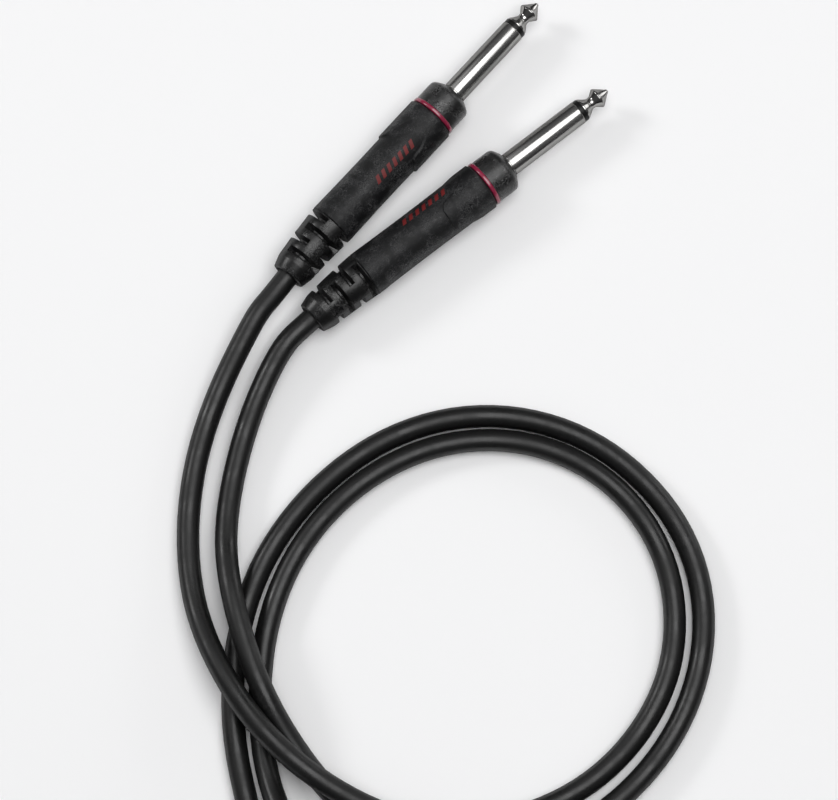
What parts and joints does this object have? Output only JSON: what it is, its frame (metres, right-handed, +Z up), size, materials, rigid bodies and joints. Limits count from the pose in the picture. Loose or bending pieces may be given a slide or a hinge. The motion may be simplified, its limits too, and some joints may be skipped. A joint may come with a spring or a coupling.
{
  "type": "instrument cable",
  "caption": "Instrument cable with straight two-pole plugs, screw-on barrels, slotted strain-relief boots and a screened cord lying in loops and a coil.",
  "frame": {"origin": "on the surface that the cable lies on, under the middle of the box round the two plugs", "axes": "+Z up; the plugs lie flat, tips towards +X and +Y, plug A at 48 degrees and plug B at 38 degrees from +X"},
  "size_m": [0.1371, 0.3122, 0.0269],
  "materials": {
    "plated_contact": "polished nickel-plated brass",
    "black_insulator": "smooth moulded",
    "brass_terminal": "stamped",
    "solder": "dull tin",
    "collar_plastic": "satin moulded",
    "red_ring": "glossy moulded",
    "shell_plastic": "plain moulded",
    "grip_rubber": "matte soft-touch, faint mottle",
    "liner_film": "thin film",
    "boot_rubber": "satin",
    "cord_jacket": "smooth satin",
    "copper_braid": "braided copper",
    "white_dielectric": "plain",
    "copper_wire": "stranded copper",
    "tie_strap": "woven hook-and-loop strap"
  },
  "bodies": {
    "core": {"tip_contact_a": "plated_contact", "tip_insulator_a": "black_insulator", "sleeve_contact_a": "plated_contact", "rear_bush_a": "black_insulator", "tip_terminal_a": "brass_terminal", "sleeve_terminal_a": "brass_terminal", "tip_solder_a": "solder", "sleeve_solder_a": "solder", "collar_a": "collar_plastic", "colour_ring_a": "red_ring", "jacket_end_a": "cord_jacket", "shield_a": "copper_braid", "dielectric_a": "white_dielectric", "conductor_a": "copper_wire", "tip_contact_b": "plated_contact", "tip_insulator_b": "black_insulator", "sleeve_contact_b": "plated_contact", "rear_bush_b": "black_insulator", "tip_terminal_b": "brass_terminal", "sleeve_terminal_b": "brass_terminal", "tip_solder_b": "solder", "sleeve_solder_b": "solder", "collar_b": "collar_plastic", "colour_ring_b": "red_ring", "jacket_end_b": "cord_jacket", "shield_b": "copper_braid", "dielectric_b": "white_dielectric", "conductor_b": "copper_wire", "cable_run_a": "cord_jacket", "cable_coil": "cord_jacket", "cable_run_b": "cord_jacket", "coil_tie": "tie_strap"},
    "boot_unit_a": {"boot_a": "boot_rubber"},
    "barrel_a": {"barrel_shell_a": "shell_plastic", "barrel_grip_a": "grip_rubber", "liner_a": "liner_film"},
    "boot_unit_b": {"boot_b": "boot_rubber"},
    "barrel_b": {"barrel_shell_b": "shell_plastic", "barrel_grip_b": "grip_rubber", "liner_b": "liner_film"}
  },
  "joints": [
    {"name": "boot_slide_a", "type": "slide", "parent": "core", "child": "boot_unit_a", "axis": [-0.6691, -0.7431, 0], "range_m": [0, 0.00375]},
    {"name": "barrel_screw_a", "type": "hinge", "parent": "boot_unit_a", "child": "barrel_a", "pos_m": [-0.01023, 0.00434, 0.00666], "axis": [-0.6691, -0.7431, 0], "range_deg": [0, 1800]},
    {"name": "boot_slide_b", "type": "slide", "parent": "core", "child": "boot_unit_b", "axis": [-0.788, -0.6157, 0], "range_m": [0, 0.00375]},
    {"name": "barrel_screw_b", "type": "hinge", "parent": "boot_unit_b", "child": "barrel_b", "pos_m": [0.00159, -0.01246, 0.00666], "axis": [-0.788, -0.6157, 0], "range_deg": [0, 1800]}
  ],
  "couplings": [
    {"joint": "boot_slide_a", "follows": "barrel_screw_a", "m_per_rad": 0.00011937},
    {"joint": "boot_slide_b", "follows": "barrel_screw_b", "m_per_rad": 0.00011937}
  ]
}
